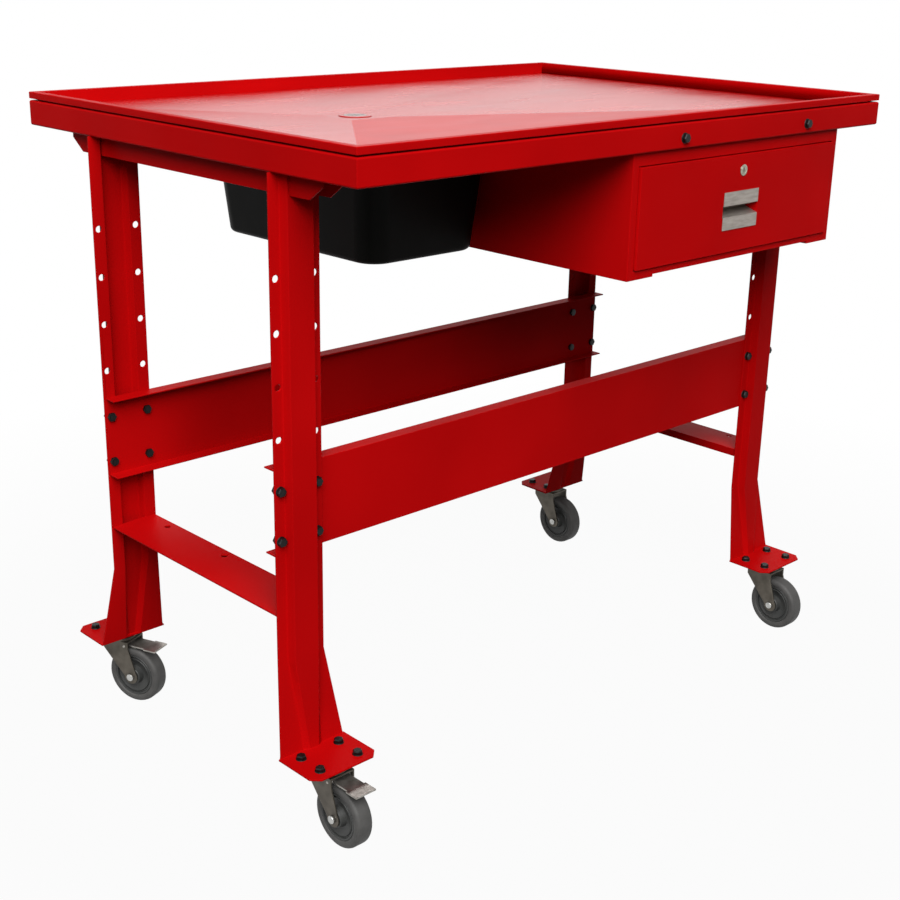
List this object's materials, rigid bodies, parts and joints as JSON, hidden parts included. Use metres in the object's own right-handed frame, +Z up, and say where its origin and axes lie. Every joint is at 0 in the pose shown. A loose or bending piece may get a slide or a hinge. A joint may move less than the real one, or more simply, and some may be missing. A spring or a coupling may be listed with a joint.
{
  "type": "service bench",
  "caption": "Red steel service bench on swivel casters, with a shallow drain tray top, a locking drawer and a slide-out black drain pan",
  "frame": {"origin": "on the floor at the middle of the footprint", "axes": "+X along the length to the drawer end, +Y from the drawer face to the rear, +Z up"},
  "size_m": [1.239, 0.822, 1.043],
  "materials": {
    "red_powder_coat": "glossy red powder coat",
    "black_bolt": "black oxide",
    "zinc_plate": "dull zinc plate",
    "axle_steel": "bright zinc plate",
    "drain_steel": "satin steel",
    "pull_steel": "satin nickel",
    "lock_chrome": "chrome plate",
    "black_plastic": "moulded black plastic",
    "hub_plastic": "moulded dark grey plastic",
    "tyre_rubber": "grey rubber"
  },
  "bodies": {
    "bench": {"top_tray": "red_powder_coat", "apron_front": "red_powder_coat", "apron_rear": "red_powder_coat", "apron_left": "red_powder_coat", "apron_right": "red_powder_coat", "pan_bearer_left": "red_powder_coat", "pan_bearer_right": "red_powder_coat", "drawer_bearer_left": "red_powder_coat", "drawer_bearer_right": "red_powder_coat", "skirt_bolts": "black_bolt", "drain_fitting": "red_powder_coat", "drain_strainer": "drain_steel", "drain_locknut": "drain_steel", "pan_runner_left": "red_powder_coat", "pan_runner_right": "red_powder_coat", "pan_runner_screws": "black_bolt", "leg_top_rail_left": "red_powder_coat", "leg_top_rail_right": "red_powder_coat", "foot_rail_left": "red_powder_coat", "foot_rail_right": "red_powder_coat", "top_rail_bolts": "black_bolt", "stringer_front": "red_powder_coat", "stringer_rear": "red_powder_coat", "stringer_bolts": "black_bolt", "caster_plates": "zinc_plate", "caster_bolts": "black_bolt", "drawer_housing": "red_powder_coat", "housing_bolts": "black_bolt", "slide_channel_left": "zinc_plate", "slide_channel_right": "zinc_plate", "leg_front_left": "red_powder_coat", "leg_front_right": "red_powder_coat", "leg_rear_left": "red_powder_coat", "leg_rear_right": "red_powder_coat"},
    "drawer": {"drawer_box": "red_powder_coat", "drawer_front": "red_powder_coat", "drawer_pull": "pull_steel", "lock_barrel": "lock_chrome", "slide_runner_left": "zinc_plate", "slide_runner_right": "zinc_plate"},
    "lock": {"lock_plug": "lock_chrome"},
    "pan": {"drain_pan": "black_plastic"},
    "caster_front_left": {"caster_fork_front_left": "zinc_plate", "caster_axle_front_left": "axle_steel"},
    "wheel_front_left": {"wheel_hub_front_left": "hub_plastic", "wheel_tyre_front_left": "tyre_rubber"},
    "pedal_front_left": {"brake_pedal_front_left": "zinc_plate"},
    "caster_front_right": {"caster_fork_front_right": "zinc_plate", "caster_axle_front_right": "axle_steel"},
    "wheel_front_right": {"wheel_hub_front_right": "hub_plastic", "wheel_tyre_front_right": "tyre_rubber"},
    "caster_rear_left": {"caster_fork_rear_left": "zinc_plate", "caster_axle_rear_left": "axle_steel"},
    "wheel_rear_left": {"wheel_hub_rear_left": "hub_plastic", "wheel_tyre_rear_left": "tyre_rubber"},
    "pedal_rear_left": {"brake_pedal_rear_left": "zinc_plate"},
    "caster_rear_right": {"caster_fork_rear_right": "zinc_plate", "caster_axle_rear_right": "axle_steel"},
    "wheel_rear_right": {"wheel_hub_rear_right": "hub_plastic", "wheel_tyre_rear_right": "tyre_rubber"}
  },
  "joints": [
    {"name": "drawer_slide", "type": "slide", "parent": "bench", "child": "drawer", "axis": [0, -1, 0], "range_m": [0, 0.36]},
    {"name": "lock_turn", "type": "hinge", "parent": "drawer", "child": "lock", "pos_m": [0.213, -0.4, 0.9445], "axis": [0, -1, 0], "range_deg": [0, 90]},
    {"name": "pan_slide", "type": "slide", "parent": "bench", "child": "pan", "axis": [0, -1, 0], "range_m": [0, 0.3]},
    {"name": "swivel_front_left", "type": "hinge", "parent": "bench", "child": "caster_front_left", "pos_m": [-0.5575, -0.291, 0.12], "axis": [0, 0, 1], "continuous": true},
    {"name": "spin_front_left", "type": "hinge", "parent": "caster_front_left", "child": "wheel_front_left", "pos_m": [-0.5575, -0.3245, 0.0508], "axis": [1, 0, 0], "continuous": true},
    {"name": "brake_front_left", "type": "hinge", "parent": "caster_front_left", "child": "pedal_front_left", "pos_m": [-0.5575, -0.313, 0.1076], "axis": [1, 0, 0], "range_deg": [0, 8]},
    {"name": "swivel_front_right", "type": "hinge", "parent": "bench", "child": "caster_front_right", "pos_m": [0.5575, -0.291, 0.12], "axis": [0, 0, 1], "continuous": true},
    {"name": "spin_front_right", "type": "hinge", "parent": "caster_front_right", "child": "wheel_front_right", "pos_m": [0.5575, -0.3245, 0.0508], "axis": [1, 0, 0], "continuous": true},
    {"name": "swivel_rear_left", "type": "hinge", "parent": "bench", "child": "caster_rear_left", "pos_m": [-0.5575, 0.291, 0.12], "axis": [0, 0, 1], "continuous": true},
    {"name": "spin_rear_left", "type": "hinge", "parent": "caster_rear_left", "child": "wheel_rear_left", "pos_m": [-0.54495, 0.25994, 0.0508], "axis": [0.9272, 0.3746, 0], "continuous": true},
    {"name": "brake_rear_left", "type": "hinge", "parent": "caster_rear_left", "child": "pedal_rear_left", "pos_m": [-0.54926, 0.2706, 0.1076], "axis": [0.9272, 0.3746, 0], "range_deg": [0, 8]},
    {"name": "swivel_rear_right", "type": "hinge", "parent": "bench", "child": "caster_rear_right", "pos_m": [0.5575, 0.291, 0.12], "axis": [0, 0, 1], "continuous": true},
    {"name": "spin_rear_right", "type": "hinge", "parent": "caster_rear_right", "child": "wheel_rear_right", "pos_m": [0.5575, 0.2575, 0.0508], "axis": [1, 0, 0], "continuous": true}
  ]
}
